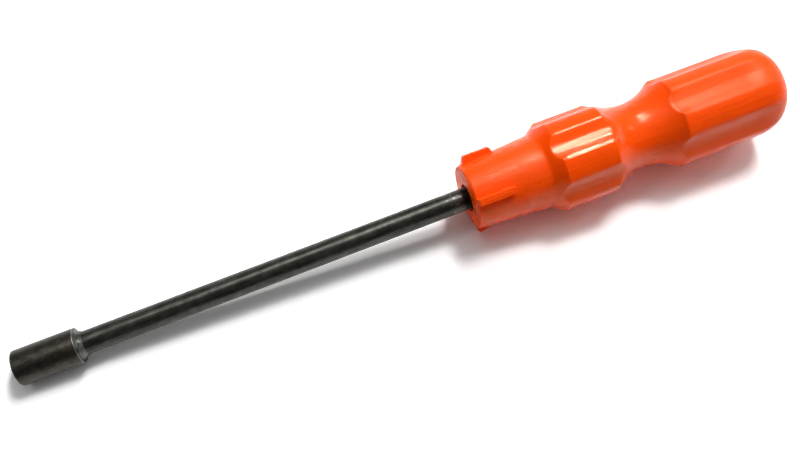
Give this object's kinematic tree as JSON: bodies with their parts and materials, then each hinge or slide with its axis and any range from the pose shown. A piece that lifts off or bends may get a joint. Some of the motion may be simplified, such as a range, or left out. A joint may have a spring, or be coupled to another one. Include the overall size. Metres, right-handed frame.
{
  "type": "carburetor adjustment tool",
  "caption": "Hand driver with a fluted plastic handle, a long round steel shank and a short splined drive socket for turning recessed carburetor mixture screws.",
  "frame": {"origin": "on the tool's axis, halfway between the socket's mouth and the tip of the handle's domed end", "axes": "X along the tool's axis, with the handle at +X and the socket's mouth at -X; a handle flute faces -Z, so the tool lies on the ridges beside it"},
  "size_m": [0.1754, 0.0208, 0.0198],
  "materials": {
    "orange_plastic": "moulded, semi-gloss",
    "black_oxide_bar": "black oxide, satin",
    "black_oxide_socket": "turned, black oxide, satin"
  },
  "bodies": {
    "root": {"handle": "orange_plastic", "shank": "black_oxide_bar", "drive_socket": "black_oxide_socket"}
  },
  "joints": []
}
